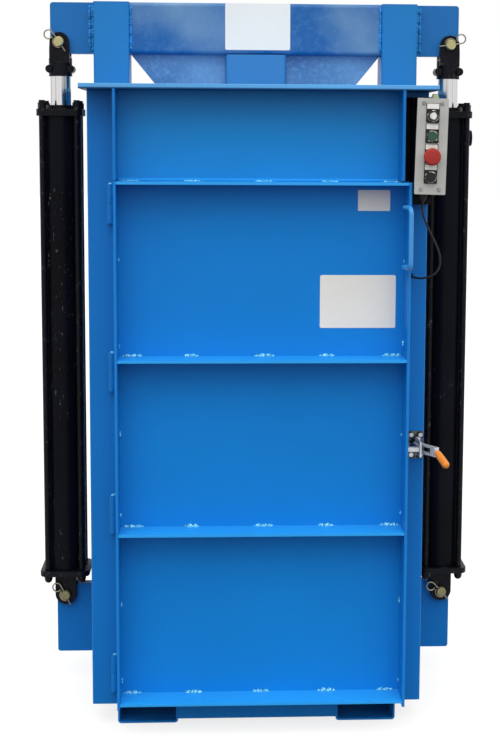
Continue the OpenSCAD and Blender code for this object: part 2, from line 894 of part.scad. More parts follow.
module cover_screws() {
    color(bright_steel) at_box()
        for (x = [-21, 21], z = [-98, 98]) translate([x, box_face_y, z])
            rotate([90, 0, 0]) cylinder(r1 = 4.5, r2 = 3.5, h = 2.5);
}

// square plates with a raised label strip above each device
module legend_plates() {
    strip_h = legend_pitch_h - legend_w;
    color(gloss_black)
        for (i = [0 : 3]) at_device(i) difference() {
            union() {
                plate_xz([legend_y, box_face_y]) rounded(legend_w, legend_w, 2);
                span([-legend_w / 2, legend_w / 2], [legend_y, box_face_y],
                    [legend_w / 2 - 2, legend_w / 2 + strip_h]);
            }
            along_y(hole_r, [legend_y - 1, box_face_y + 1]);
        }
}

// threaded collars that clamp each device and its plate in the cover
module device_bezels() {
    color(gloss_black)
        for (i = [0 : 3]) at_device(i) difference() {
            union() {
                along_y(bezel_r, [legend_y - bezel_h, legend_y]);
                along_y(hole_r, [legend_y, box_face_y + 30]);
            }
            along_y(shaft_r + running_fit, [legend_y - bezel_h - 1, box_face_y + 31]);
        }
}

// actuator with a shaft in its bezel and a cap in front of it
module actuator(cap_r, gap, cap_h) {
    face = legend_y - bezel_h - gap;
    along_y(shaft_r, [face - 0.5, box_face_y + 20]);
    along_y(cap_r, [face - cap_h, face]);
}

module selector_knob() {
    face = legend_y - bezel_h - 1;
    color(gloss_black) at_device(0) {
        actuator(11.5, 1, 6);
        plate_xz([face - 14, face - 6]) rounded(8, 21, 3.9);
    }
}

module green_button() {
    color([0.1, 0.45, 0.22]) at_device(1) actuator(11, 5, 7);
}

module black_button() {
    color(gloss_black) at_device(3) actuator(11, 5, 7);
}

// mushroom head turned in one piece with its neck
module stop_button() {
    neck_y = legend_y - bezel_h - 7;
    color([0.78, 0.2, 0.18]) at_device(2) {
        along_y(shaft_r, [neck_y - 1, box_face_y + 20]);
        translate([0, neck_y, 0]) rotate([90, 0, 0]) rotate_extrude()
            polygon(concat([[0, 0], [shaft_r + 4, 0], [stop_d / 2 - 1.5, 4]],
                [for (a = [0 : 15 : 90]) [stop_d / 2 - 6 + 6 * cos(a), 9 + 6 * sin(a)]],
                [[0, 16]]));
    }
}

module conduit_plug() {
    color([0.6, 0.68, 0.35]) at_box()
        translate([8, (box_face_y + box_back_y) / 2, box_h / 2]) {
            cylinder(r = 9, h = 5, $fn = 6);
            translate([0, 0, 5]) cylinder(r1 = 8, r2 = 6, h = 6);
        }
}

module cable_gland() {
    start = cable_route[0];
    seat_z = start[2] + 2;
    color(gloss_black) difference() {
        translate([start[0], start[1], 0]) {
            translate([0, 0, start[2]]) cylinder(r1 = 5, r2 = 8, h = 6);
            translate([0, 0, start[2] + 6]) cylinder(r = 9, h = box_z - box_h / 2 - start[2] - 6);
        }
        at_box() span([-box_w, box_w], [box_face_y - 1, box_back_y + 1],
            [-box_h / 2, box_h / 2]);
        translate([start[0], start[1], start[2] - 1]) cylinder(r = cable_d / 2, h = 1);
    }
}

module cable_grommet() {
    last = cable_route[len(cable_route) - 1];
    color(gloss_black) translate([last[0], 0, last[2]]) difference() {
        along_y(7, [front_y - 4, front_y]);
        along_y(cable_d / 2 + 0.02, [last[1], front_y + 1]);
        along_y(cable_d / 2 + 1, [front_y - 5, last[1]]);
    }
}

function unit(v) = v / norm(v);
function along(p, i) = unit(p[min(i + 1, len(p) - 1)] - p[max(i - 1, 0)]);
function aside(d) = unit(cross(d, [1, 0, 0]));
function ring_at(p, i, r, n) =
    let (d = along(p, i), u = aside(d), v = cross(d, u))
        [for (k = [0 : n - 1]) p[i] + r * (cos(360 * k / n) * u + sin(360 * k / n) * v)];

module swept(p, r, n) {
    last = len(p) - 1;
    rings = [for (i = [0 : last]) each ring_at(p, i, r, n)];
    walls = [for (i = [0 : last - 1], k = [0 : n - 1])
        [i * n + k, i * n + (k + 1) % n, (i + 1) * n + (k + 1) % n, (i + 1) * n + k]];
    ends = [[for (k = [n - 1 : -1 : 0]) k], [for (k = [0 : n - 1]) last * n + k]];
    polyhedron(points = rings, faces = concat(walls, ends), convexity = 4);
}

module control_cable() {
    color(gloss_black) swept(cable_route, cable_d / 2, 8);
}

// ---------- power unit ----------

tank_y = rear_y - post_r;
tank_mid_y = tank_y + tank_d / 2 + 2;
tank_top = tank_z + tank_h;

module reservoir() {
    wall = 4;
    color(machine_grey) difference() {
        translate([0, tank_y + tank_d / 2, tank_z])
            linear_extrude(tank_h) rounded(tank_w, tank_d, 12);
        translate([0, tank_y + tank_d / 2, tank_z + wall])
            linear_extrude(tank_h - 2 * wall) rounded(tank_w - 2 * wall, tank_d - 2 * wall, 8);
        translate([tank_w / 2 - 50, tank_mid_y, tank_top - wall - 1])
            cylinder(r = 16, h = wall + 2);
    }
}

module motor() {
    r = motor_d / 2;
    fins = 20;
    color(machine_grey) translate([-tank_w / 2 + r + 20, tank_mid_y, tank_top]) {
        cylinder(r = r, h = 14);
        translate([0, 0, 14]) cylinder(r = r - 6, h = 196);
        for (i = [0 : fins - 1]) rotate([0, 0, i * 360 / fins])
            translate([r - 8, -1.5, 30]) cube([8, 3, 160]);
        translate([0, 0, 210]) cylinder(r = r, h = 50);
        translate([0, 0, 260]) cylinder(r1 = r, r2 = r - 18, h = 14);
        span([r - 10, r + 34], [-36, 36], [80, 150]);
    }
}

module valve_manifold() {
    color(machine_grey) translate([tank_w / 2 - 140, tank_mid_y, tank_top]) {
        span([-38, 38], [-34, 34], [0, 60]);
        for (s = [-1, 1]) translate([0, s * 17, 60]) {
            cylinder(r = 14, h = 26);
            translate([0, 0, 26]) cylinder(r = 10, h = 16);
        }
    }
}

module filler_cap() {
    color(gloss_black) translate([tank_w / 2 - 50, tank_mid_y, tank_top]) {
        cylinder(r = 26, h = 8);
        translate([0, 0, 8]) cylinder(r = 22, h = 26);
        translate([0, 0, 34]) cylinder(r1 = 22, r2 = 16, h = 5);
    }
}

module level_gauge() {
    color(bright_steel)
        translate([tank_w / 2 - 60, tank_y + tank_d, tank_z + tank_h / 2]) rotate([-90, 0, 0]) {
            linear_extrude(6) rounded(34, 150, 8);
            for (y = [-58, 58]) translate([0, y, 6]) cylinder(r = 8, h = 5, $fn = 6);
        }
}

base_plate();
base_bars();
fork_pockets();
corner_posts();
guide_columns();
side_sheets();
chamber_liners();
back_sheet();
top_plate();
header_panel();
header_flanges();
lug_plates();
frame_knuckles();
hinge_pins();
door_sheet();
door_flanges();
door_shelves();
door_knuckles();
door_handle();
latch_keeper();
latch_base();
latch_lever();
latch_grip();
latch_hook();
crosshead_beam();
wing_plates();
guide_posts();
ram_tube();
gusset_plates();
platen();
cylinder_tubes();
cylinder_heads();
cylinder_caps();
tie_rods();
pistons();
piston_rods();
rod_clevises();
upper_pins();
upper_clips();
lower_pins();
lower_clips();
control_bracket();
control_box();
control_cover();
cover_screws();
legend_plates();
device_bezels();
selector_knob();
green_button();
stop_button();
black_button();
conduit_plug();
cable_gland();
control_cable();
cable_grommet();
reservoir();
motor();
valve_manifold();
filler_cap();
level_gauge();
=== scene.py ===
"""Finishes, welds, label places, cable and studio for the upright drum crusher."""
import math

import bmesh
import bpy
from bpy.props import FloatProperty, FloatVectorProperty, PointerProperty
from mathutils import Matrix, Vector


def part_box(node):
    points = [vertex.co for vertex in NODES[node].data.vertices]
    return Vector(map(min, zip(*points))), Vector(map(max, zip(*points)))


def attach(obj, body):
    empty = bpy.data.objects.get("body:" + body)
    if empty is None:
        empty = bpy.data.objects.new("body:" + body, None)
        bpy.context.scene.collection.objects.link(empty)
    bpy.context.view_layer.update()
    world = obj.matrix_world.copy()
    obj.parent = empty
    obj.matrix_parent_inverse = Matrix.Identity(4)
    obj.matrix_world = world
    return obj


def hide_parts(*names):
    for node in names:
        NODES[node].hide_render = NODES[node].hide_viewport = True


bl_info = {
    "name": "Drum Crusher",
    "version": (1, 0, 0),
    "blender": (4, 5, 0),
    "location": "3D View > Sidebar > Crusher",
    "description": "Paint, welds, label places, cable and studio of an upright drum crusher",
    "category": "Add Mesh",
}

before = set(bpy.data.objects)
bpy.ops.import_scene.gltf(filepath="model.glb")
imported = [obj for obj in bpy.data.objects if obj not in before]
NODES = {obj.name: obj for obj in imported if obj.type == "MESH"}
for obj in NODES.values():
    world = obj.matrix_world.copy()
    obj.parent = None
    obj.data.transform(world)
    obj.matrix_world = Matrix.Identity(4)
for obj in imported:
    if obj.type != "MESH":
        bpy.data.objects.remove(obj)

# Sizes are in metres, and angles in degrees. The camera stands at eye height beside the door's
# left half, turned slightly right and down.
CAMERA_PLACE = (-0.0955, -3.7584, 1.4286)
CAMERA_YAW = 2.876
CAMERA_PITCH = 6.694
CAMERA_ROLL = 0.318
CAMERA_SHIFT = (-0.0551, -0.0875)
SENSOR_WIDTH = 36.0

# Floor: half its side, its drop below the base, and the share of plain white in what is seen
# of it.
FLOOR_REACH = 30.0
FLOOR_DROP = 0.0005
FLOOR_WHITE = 0.78

# Soft lamp's direction and spread, and the even light's levels at the horizon and overhead.
LAMP_WAY = (0.12, 0.62, -1.0)
LAMP_SPREAD = 50
SKY_LEVELS = (0.95, 1.25)

# Bars across the door, and the middles of the stitches along each of them.
BAR_COUNT = 4
BAR_THICK = 0.0064
STITCH_PLACES = (-0.302, -0.155, 0.010, 0.168, 0.314)

# Stitches reach this far behind the front of the door's sheet at the most. On the top bar they
# are thin, and lie just in front of the header's strip.
STITCH_SEAT = 0.0056
TOP_STITCH_BEAD = 0.0029
TOP_STITCH_GAP = 0.0003

# Strip along the header's lower edge: its thickness, its inset from the panel's ends, its gap
# over the door, its lap on the panel and its rounding.
LIP_THICK = 0.0012
LIP_INSET = 0.007
LIP_GAP = 0.0006
LIP_LAP = 0.003
LIP_ROUND = 0.0004

# Control devices: their number, spacing, lean, and the square plate under each. A strip with a
# pale field, of this half width and half height, stands on top of each square.
DEVICE_COUNT = 4
DEVICE_PITCH = 0.0462
DEVICE_LEAN = 1.4
DEVICE_PLATE = 0.0306
FIELD_WIDE = 0.0138
FIELD_HIGH = 0.0058
FIELD_RISE = 0.0068

# Label film's thickness, and the steps of its round corners.
FILM_THICK = 0.0003
CORNER_STEPS = 4

# Height of the painted shade along the lower edge of the top plate, and how far a point of the
# latch's base is from the frame before it counts as proud of the plate.
TOP_DARK_EDGE = 0.0035
PROUD_DEPTH = 0.0036

# Hanging cable: radius, sides of its tube and steps of its curve between two route points.
CABLE_RADIUS = 0.0025
CABLE_SIDES = 14
CABLE_STEPS = 5

# The hanging cable's route, the same points as the part's, in millimetres.
CABLE_ROUTE = [
    (378, -379, 1278), (378, -379, 1262), (380, -379, 1246), (386, -379, 1230),
    (393, -379, 1214), (401, -379, 1198), (409, -379, 1182), (416, -378, 1166),
    (421, -376, 1149), (422, -373, 1132), (418, -368, 1117), (409, -361, 1106),
    (397, -352, 1099), (384, -343, 1095), (373, -334, 1095), (365, -325, 1097),
    (361, -316, 1099), (361, -312, 1099),
]


def colour(name, description, value):
    return FloatVectorProperty(
        name=name, description=description, default=value, subtype="COLOR", size=3,
        min=0.0, max=1.0,
    )


def length(name, description, value):
    return FloatProperty(
        name=name, description=description, default=value, min=0.0, unit="LENGTH"
    )


def srgb(code):
    """Linear colour of a six-digit hexadecimal screen colour."""
    parts = [int(code[i : i + 2], 16) / 255 for i in (0, 2, 4)]
    return tuple(c / 12.92 if c < 0.04045 else ((c + 0.055) / 1.055) ** 2.4 for c in parts)


class CrusherPaint(bpy.types.PropertyGroup):
    """Colours of the painted, plated and moulded parts"""

    enamel: colour("Enamel", "Blue of the frame", srgb("106db8"))
    enamel_door: colour("Door enamel", "Blue of the door's sheet", srgb("0c78c7"))
    # Bars and strip: a brighter copy of the door's blue, as painted highlight on their lit edges.
    enamel_shelf_lit: colour("Shelf enamel", "Brighter blue of the bars and strip", srgb("2294e0"))
    enamel_flange: colour("Flange enamel", "Blue of the door's side flanges", srgb("0e74c2"))
    enamel_ram: colour("Ram enamel", "Blue of the guide posts and platen", srgb("1870ae"))
    # Wings: a darker copy of the crosshead's blue, as painted shade.
    enamel_wing_shaded: colour("Wing enamel", "Darker blue of the crosshead's wings", srgb("2066a4"))
    # Beam: a darker blue under pale patches of painted sheen.
    enamel_beam: colour("Beam enamel", "Darker blue of the crosshead's beam", srgb("085592"))
    enamel_sheen: colour("Beam sheen", "Greyer sheen over the beam", srgb("6386a6"))
    enamel_tube: colour("Tube enamel", "Blue of the ram's tube", srgb("216fa9"))
    enamel_gusset: colour("Gusset enamel", "Blue of the gusset plates", srgb("286096"))
    enamel_header: colour("Header enamel", "Blue of the panel over the door", srgb("087dc3"))
    # Handle: a lighter copy of the door's blue, as painted highlight.
    enamel_handle_lit: colour("Handle enamel", "Lighter blue of the handle", srgb("2f86c8"))
    # Pale patches of painted sheen on the gusset plates.
    enamel_gusset_sheen: colour("Gusset sheen", "Pale patches on the gusset plates", srgb("5c8eba"))
    # Painted sheen: the pale blue of the top plate's edge stands for sky light falling on it.
    enamel_top_sheen: colour("Top enamel", "Pale blue of the top plate", srgb("5aa4e1"))
    # Welds and pin tips: pale partly as painted highlight.
    weld: colour("Weld", "Pale blue of the welds and pin tips", srgb("5fc2ea"))
    black: colour("Black", "Cylinders, bracket and box", srgb("08090f"))
    chrome: colour("Chrome", "Piston rods", srgb("dedcdc"))
    steel: colour("Steel", "Latch, screws, gauge and pistons", srgb("b9bcbe"))
    clip: colour("Clip", "Dull wire of the clips", srgb("8f8877"))
    zinc: colour("Yellow zinc", "Clevis pins", srgb("b9b184"))
    box: colour("Box cover", "Grey of the control box's cover", srgb("abaca8"))
    black_plastic: colour("Black plastic", "Legend plates, black devices and cap", srgb("161618"))
    green: colour("Green", "Green button", srgb("284b35"))
    red: colour("Red", "Stop button", srgb("982c29"))
    orange: colour("Orange", "Latch grip", srgb("cd7a22"))
    plug: colour("Plug", "Plug on top of the control box", srgb("a7b58c"))
    unit: colour("Power unit", "Grey of the motor and reservoir", srgb("80858a"))
    label: colour("Label", "Blank label places", srgb("dcdad4"))
    edge_round: length("Edge round", "Width of the rounding on hard edges", 0.0008)


class CrusherWelds(bpy.types.PropertyGroup):
    """Sizes of the weld beads"""

    bead: length("Bead", "Radius of a full weld bead", 0.0042)
    band: length("Band", "Width of the two-pass welds on the crosshead", 0.018)
    stitch_bead: length("Stitch bead", "Radius of a stitch weld", 0.0066)
    stitch: length("Stitch", "Length of one stitch weld", 0.043)
    tack: length("Tack", "Length of one tack weld", 0.012)
    ripple: length("Ripple", "Distance between the ripples of a bead", 0.0046)


class CrusherStage(bpy.types.PropertyGroup):
    """Floor, light and camera"""

    floor: colour("Floor", "Colour of the floor", (0.9, 0.9, 0.9))
    bounce: FloatProperty(
        name="Bounce", description="Share of the light that the floor throws back", default=0.05,
        min=0.0, max=1.0, subtype="FACTOR",
    )
    key: FloatProperty(
        name="Key", description="Strength of the soft lamp from above", default=1.1, min=0.0
    )
    sky: FloatProperty(
        name="Sky", description="Level of the even light from above", default=1.42, min=0.0
    )
    lens: FloatProperty(name="Lens", description="Focal length", default=70.88, unit="CAMERA")


# ---------- materials ----------


def node_material(name):
    mat = bpy.data.materials.new(name)
    mat.use_nodes = True
    return mat, mat.node_tree, mat.node_tree.nodes["Principled BSDF"]


def object_noise(tree, scale, detail=4.0, rough=0.5, stretch=None):
    """A noise in the object's own space, in features per metre."""
    place = tree.nodes.new("ShaderNodeTexCoord")
    noise = tree.nodes.new("ShaderNodeTexNoise")
    noise.inputs["Scale"].default_value = scale
    noise.inputs["Detail"].default_value = detail
    noise.inputs["Roughness"].default_value = rough
    if stretch is None:
        tree.links.new(place.outputs["Object"], noise.inputs["Vector"])
    else:
        mapping = tree.nodes.new("ShaderNodeMapping")
        mapping.inputs["Scale"].default_value = stretch
        tree.links.new(place.outputs["Object"], mapping.inputs["Vector"])
        tree.links.new(mapping.outputs["Vector"], noise.inputs["Vector"])
    return noise.outputs["Fac"]


def coordinate(tree, axis, space="Object"):
    """One coordinate of the shaded point."""
    place = tree.nodes.new("ShaderNodeTexCoord")
    parts = tree.nodes.new("ShaderNodeSeparateXYZ")
    tree.links.new(place.outputs[space], parts.inputs["Vector"])
    return parts.outputs[axis]


def math_step(tree, operation, first, second):
    """Result of an operation on a socket and a number or another socket."""
    node = tree.nodes.new("ShaderNodeMath")
    node.operation = operation
    tree.links.new(first, node.inputs[0])
    if isinstance(second, bpy.types.NodeSocket):
        tree.links.new(second, node.inputs[1])
    else:
        node.inputs[1].default_value = second
    return node.outputs["Value"]


def vector_step(tree, operation, source, value=(0.0, 0.0, 0.0)):
    """Outputs of an operation on a vector socket and a fixed vector."""
    node = tree.nodes.new("ShaderNodeVectorMath")
    node.operation = operation
    node.inputs[1].default_value = value
    tree.links.new(source, node.inputs[0])
    return node.outputs


def fade(tree, source, start, end, low=0.0, high=1.0):
    """Straight fade from low, where source is at start, to high at end."""
    node = tree.nodes.new("ShaderNodeMapRange")
    node.inputs["From Min"].default_value = start
    node.inputs["From Max"].default_value = end
    node.inputs["To Min"].default_value = low
    node.inputs["To Max"].default_value = high
    tree.links.new(source, node.inputs["Value"])
    return node.outputs["Result"]


def ramp(tree, source, stops):
    """Maps source through colour stops given as (place, colour)."""
    node = tree.nodes.new("ShaderNodeValToRGB")
    elements = node.color_ramp.elements
    while len(elements) < len(stops):
        elements.new(0.5)
    for element, (place, value) in zip(elements, stops):
        element.position = place
        element.color = (*value, 1.0)
    tree.links.new(source, node.inputs["Fac"])
    return node.outputs["Color"]


def shade(rgb, factor):
    return tuple(min(1.0, c * factor) for c in rgb)


def tones(tree, source, rgb, *stops):
    """Shades of one colour, with stops given as (place, factor)."""
    return ramp(tree, source, [(place, shade(rgb, factor)) for place, factor in stops])


def greys(tree, source, *stops):
    """Greys for a mask or a roughness, with stops given as (place, value)."""
    return ramp(tree, source, [(place, (value, value, value)) for place, value in stops])


def overlay(tree, under, mask, over):
    """Colour under, with over laid on it where the mask is white. Each is an rgb or a socket."""
    mix = tree.nodes.new("ShaderNodeMix")
    mix.data_type = "RGBA"
    tree.links.new(mask, mix.inputs["Factor"])
    for key, value in (("A", under), ("B", over)):
        if isinstance(value, bpy.types.NodeSocket):
            tree.links.new(value, mix.inputs[key])
        else:
            mix.inputs[key].default_value = (*value, 1.0)
    return mix.outputs["Result"]


def coat(tree, shader, base, roughness):
    """Gives the surface its colour and its roughness."""
    tree.links.new(base, shader.inputs["Base Color"])
    tree.links.new(roughness, shader.inputs["Roughness"])


def bump(tree, shader, height, strength, distance):
    node = tree.nodes.new("ShaderNodeBump")
    node.inputs["Strength"].default_value = strength
    node.inputs["Distance"].default_value = distance
    tree.links.new(height, node.inputs["Height"])
    tree.links.new(node.outputs["Normal"], shader.inputs["Normal"])


def orange_peel(tree, shader):
    """Fine dimples of sprayed paint. Gives back their noise."""
    peel = object_noise(tree, 340.0, detail=2.0)
    bump(tree, shader, peel, strength=0.18, distance=0.0003)
    return peel


def finish(name, rgb, rough, spread, grain, relief, metallic=0.0, gloss=0.3, tone=0.08):
    """One surface: tone drifts over it, its roughness varies and it has fine relief."""
    mat, tree, shader = node_material(name)
    wear = object_noise(tree, grain, detail=6.0, rough=0.6)
    coat(tree, shader,
         tones(tree, object_noise(tree, 7.0, detail=3.0), rgb, (0.3, 1 - tone), (0.7, 1 + tone)),
         greys(tree, wear, (0.3, max(0.03, rough - spread)), (0.7, rough + spread)))
    bump(tree, shader, wear, strength=relief, distance=0.0006)
    shader.inputs["Metallic"].default_value = metallic
    shader.inputs["Specular IOR Level"].default_value = 0.5 if metallic else gloss
    return mat


def worn_enamel(name, rgb, gloss=0.14, scratches=26.0):
    """Sprayed enamel with orange peel, a faint drift in tone and sparse pale scuffs."""
    mat, tree, shader = node_material(name)
    drift = object_noise(tree, 2.6, detail=4.0, rough=0.55)
    base = tones(tree, drift, rgb, (0.25, 0.93), (0.55, 1.0), (0.8, 1.07))
    scuff = object_noise(tree, scratches, detail=9.0, rough=0.72)
    mask = greys(tree, scuff, (0.71, 0.0), (0.77, 0.35))
    scuffed = tuple(0.55 * c + 0.25 for c in rgb)
    coat(tree, shader, overlay(tree, base, mask, scuffed),
         greys(tree, scuff, (0.35, 0.34), (0.75, 0.52)))
    orange_peel(tree, shader)
    shader.inputs["Specular IOR Level"].default_value = gloss
    return mat


def sheen_patch_enamel(name, rgb, pale, gloss, patch, glint_share, reach=(0.36, 0.7)):
    """Enamel that drifts to pale patches of painted sheen, with specks of painted glint and a
    coarse orange peel.
    """
    mat, tree, shader = node_material(name)
    drift = object_noise(tree, patch, detail=3.0)
    base = ramp(tree, drift, [(reach[0], rgb), (reach[1], pale)])
    glint_speck = object_noise(tree, 95.0, detail=4.0, rough=0.6)
    mask = greys(tree, glint_speck, (0.48, 0.0), (0.76, glint_share))
    coat(tree, shader, overlay(tree, base, mask, shade(pale, 1.25)),
         greys(tree, glint_speck, (0.3, 0.28), (0.7, 0.48)))
    bump(tree, shader, glint_speck, strength=0.5, distance=0.0008)
    shader.inputs["Specular IOR Level"].default_value = gloss
    return mat


def edge_sheen_and_shade(name, rgb, dark, height, blur=0.0012):
    """Painted sheen above this height on a plate's edge, and painted shade below it."""
    mat, tree, shader = node_material(name)
    base = tones(tree, object_noise(tree, 3.0), rgb, (0.3, 0.8), (0.7, 1.1))
    below = fade(tree, coordinate(tree, "Z"), height + blur, height - blur)
    coat(tree, shader, overlay(tree, base, below, dark),
         greys(tree, orange_peel(tree, shader), (0.3, 0.32), (0.7, 0.46)))
    shader.inputs["Specular IOR Level"].default_value = 0.2
    return mat


def rough_cast(name, rgb):
    """Black enamel over rough castings, with small painted glints on the grain."""
    mat, tree, shader = node_material(name)
    grain = object_noise(tree, 150.0, detail=5.0, rough=0.65)
    base = tones(tree, grain, rgb, (0.35, 0.6), (0.6, 1.8))
    glint_spots = object_noise(tree, 70.0, detail=6.0, rough=0.7)
    mask = greys(tree, glint_spots, (0.6, 0.0), (0.72, 0.55))
    rubs_and_glints = (0.13, 0.13, 0.135)
    coat(tree, shader, overlay(tree, base, mask, rubs_and_glints),
         greys(tree, grain, (0.3, 0.3), (0.7, 0.5)))
    bump(tree, shader, grain, strength=0.7, distance=0.0012)
    shader.inputs["Specular IOR Level"].default_value = 0.12
    return mat


def tube_black(name, rgb):
    """Black gloss, in places rubbed through to pale marks that run along the tube."""
    mat, tree, shader = node_material(name)
    drift = object_noise(tree, 5.0, detail=3.0)
    base = tones(tree, drift, rgb, (0.3, 0.7), (0.7, 1.6))
    zone = object_noise(tree, 3.3, detail=2.0)
    mark = object_noise(tree, 60.0, detail=6.0, rough=0.7, stretch=(2.6, 2.6, 0.8))
    mask = math_step(tree, "MULTIPLY", greys(tree, zone, (0.53, 0.0), (0.6, 1.0)),
                     greys(tree, mark, (0.62, 0.0), (0.7, 0.75)))
    rubs_and_glints = (0.3, 0.3, 0.29)
    coat(tree, shader, overlay(tree, base, mask, rubs_and_glints),
         greys(tree, mark, (0.3, 0.22), (0.75, 0.45)))
    bump(tree, shader, drift, strength=0.1, distance=0.001)
    shader.inputs["Specular IOR Level"].default_value = 0.06
    return mat


def streaked_chrome(name, rgb):
    """Chrome with painted reflections: its tone changes round the rod in long dark and bright
    streaks.
    """
    mat, tree, shader = node_material(name)
    streak = object_noise(tree, 1.0, detail=3.0, rough=0.6, stretch=(70.0, 70.0, 0.6))
    fine = object_noise(tree, 240.0)
    coat(tree, shader, tones(tree, streak, rgb, (0.38, 0.16), (0.45, 0.8), (0.53, 1.0), (0.7, 0.7)),
         greys(tree, fine, (0.3, 0.1), (0.7, 0.2)))
    shader.inputs["Metallic"].default_value = 1.0
    return mat


def reflection_patched_chrome(name, rgb):
    """Small chromed rings whose colour is painted reflection, bright and nearly black in turn."""
    mat, tree, shader = node_material(name)
    patch = object_noise(tree, 120.0, detail=3.0, rough=0.6)
    coat(tree, shader, tones(tree, patch, rgb, (0.44, 0.04), (0.52, 0.35), (0.6, 1.0)),
         greys(tree, patch, (0.3, 0.14), (0.7, 0.24)))
    shader.inputs["Metallic"].default_value = 1.0
    return mat


def faced_knob(name, dark, pale, centre, radius, blur=0.0006):
    """Black knob with a pale disc of this radius about its axis, which runs along Y."""
    mat, tree, shader = node_material(name)
    place = tree.nodes.new("ShaderNodeTexCoord")
    away = vector_step(tree, "SUBTRACT", place.outputs["Object"], centre)["Vector"]
    across = vector_step(tree, "MULTIPLY", away, (1.0, 0.0, 1.0))["Vector"]
    from_axis = vector_step(tree, "LENGTH", across)["Value"]
    disc = fade(tree, from_axis, radius + blur, radius - blur)
    drift = object_noise(tree, 150.0, detail=3.0)
    base = tones(tree, drift, dark, (0.3, 0.7), (0.7, 1.5))
    coat(tree, shader, overlay(tree, base, disc, pale),
         greys(tree, drift, (0.3, 0.26), (0.7, 0.4)))
    return mat


def lit_bolts_shaded_plate(name, rgb, face):
    """Steel with painted highlight on what stands proud of this Y and painted shade on the plate
    behind it.
    """
    mat, tree, shader = node_material(name)
    proud = math_step(tree, "LESS_THAN", coordinate(tree, "Y"), face)
    shade_noise = object_noise(tree, 90.0, detail=5.0, rough=0.6)
    shaded_plate = tones(tree, shade_noise, rgb, (0.42, 0.03), (0.72, 0.4))
    coat(tree, shader, overlay(tree, shaded_plate, proud, rgb),
         greys(tree, shade_noise, (0.3, 0.22), (0.7, 0.42)))
    shader.inputs["Metallic"].default_value = 1.0
    return mat


def weld_finish(name, rgb):
    """Pale blue of thinly painted weld metal, partly painted highlight, with painted glints on its
    rippled spatter.
    """
    mat, tree, shader = node_material(name)
    spatter = object_noise(tree, 210.0, detail=4.0, rough=0.6)
    glint = (0.5, 0.86, 0.93)
    coat(tree, shader,
         ramp(tree, spatter, [(0.4, shade(rgb, 0.4)), (0.52, rgb), (0.66, glint)]),
         greys(tree, spatter, (0.3, 0.3), (0.7, 0.5)))
    bump(tree, shader, spatter, strength=0.5, distance=0.001)
    shader.inputs["Specular IOR Level"].default_value = 0.4
    return mat


# ---------- putting finishes on the construction ----------


def soften(obj, width):
    """Rounds hard edges and shades the curved faces smoothly."""
    weld = obj.modifiers.new("join", "WELD")
    weld.merge_threshold = 0.00001
    bevel = obj.modifiers.new("edge_round", "BEVEL")
    bevel.width = width
    bevel.segments = 2
    bevel.limit_method = "ANGLE"
    bevel.angle_limit = math.radians(35)
    bevel.use_clamp_overlap = True
    bevel.harden_normals = False
    obj.modifiers.new("flat_faces", "WEIGHTED_NORMAL").keep_sharp = True


def dress(names, material, width):
    """Gives these nodes a material and round edges. It is linked to the object, so their meshes
    stay as made."""
    for name in names:
        obj = NODES[name]
        if not obj.material_slots:
            obj.data.materials.append(material)
        for slot in obj.material_slots:
            slot.link = "OBJECT"
            slot.material = material
        if width > 0:
            soften(obj, width)


def new_piece(name, mesh_bm, material, body, smooth=True):
    """Object from a mesh, with one material, on a body."""
    mesh = bpy.data.meshes.new(name)
    mesh_bm.to_mesh(mesh)
    mesh_bm.free()
    mesh.materials.append(material)
    for face in mesh.polygons:
        face.use_smooth = smooth
    obj = bpy.data.objects.new(name, mesh)
    bpy.context.scene.collection.objects.link(obj)
    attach(obj, body)
    return obj


def ring(bm, centre, radius, across, other, sides):
    """Points round a centre, in the plane of two unit vectors."""
    return [
        bm.verts.new(centre + radius * (math.cos(q) * across + math.sin(q) * other))
        for q in (2 * math.pi * k / sides for k in range(sides))
    ]


def close_tube(bm, rings):
    """Faces from each ring to the next, and one over each end."""
    sides = len(rings[0])
    for low, high in zip(rings, rings[1:]):
        for k in range(sides):
            bm.faces.new((low[k], low[(k + 1) % sides], high[(k + 1) % sides], high[k]))
    bm.faces.new(rings[0][::-1])
    bm.faces.new(rings[-1])


def bead(bm, start, end, radius, pitch, sides=8, necks=0.0, phase=0.0):
    """A rippled weld bead from start to end, its ends rounded down, thin at its necks."""
    a, b = Vector(start), Vector(end)
    span = (b - a).length
    along = (b - a).normalized()
    across = along.orthogonal().normalized()
    other = along.cross(across)
    rounded, thinnest = 1.5 * radius, 0.0002
    steps = max(6, int(span / pitch * 4))
    rings = []
    for i in range(steps + 1):
        t = i / steps
        taper = min(1.0, math.sqrt(max(0.0, min(t, 1 - t) * span / rounded)))
        run = t * span / pitch
        swell = radius * (0.84 + 0.1 * math.cos(2 * math.pi * run) + 0.06 * math.sin(2.3 * run))
        neck = 1 - necks * max(0.0, math.sin(1.9 * run + phase)) ** 2
        rings.append(ring(bm, a.lerp(b, t), max(thinnest, swell * taper * neck), across, other,
                          sides))
    close_tube(bm, rings)


def label_plate(name, x, z, y, material, body, corner=0.004):
    """A blank film label on a face that looks toward -Y, with rounded corners."""
    bm = bmesh.new()
    points = []
    for cx, cz, first in (
        (x[1] - corner, z[1] - corner, 0), (x[0] + corner, z[1] - corner, 90),
        (x[0] + corner, z[0] + corner, 180), (x[1] - corner, z[0] + corner, 270),
    ):
        for k in range(CORNER_STEPS + 1):
            q = math.radians(first + k * 90 / CORNER_STEPS)
            points.append((cx + corner * math.cos(q), cz + corner * math.sin(q)))
    front = [bm.verts.new((px, y - FILM_THICK, pz)) for px, pz in points]
    back = [bm.verts.new((px, y, pz)) for px, pz in points]
    bm.faces.new(front)
    bm.faces.new(back[::-1])
    for k in range(len(points)):
        j = (k + 1) % len(points)
        bm.faces.new((front[j], front[k], back[k], back[j]))
    bmesh.ops.recalc_face_normals(bm, faces=bm.faces[:])
    return new_piece(name, bm, material, body, smooth=False)


def middle(node):
    """Centre of a node's box."""
    low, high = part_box(node)
    return (low + high) / 2


def paint():
    return bpy.context.scene.crusher_paint


# ---------- operators ----------


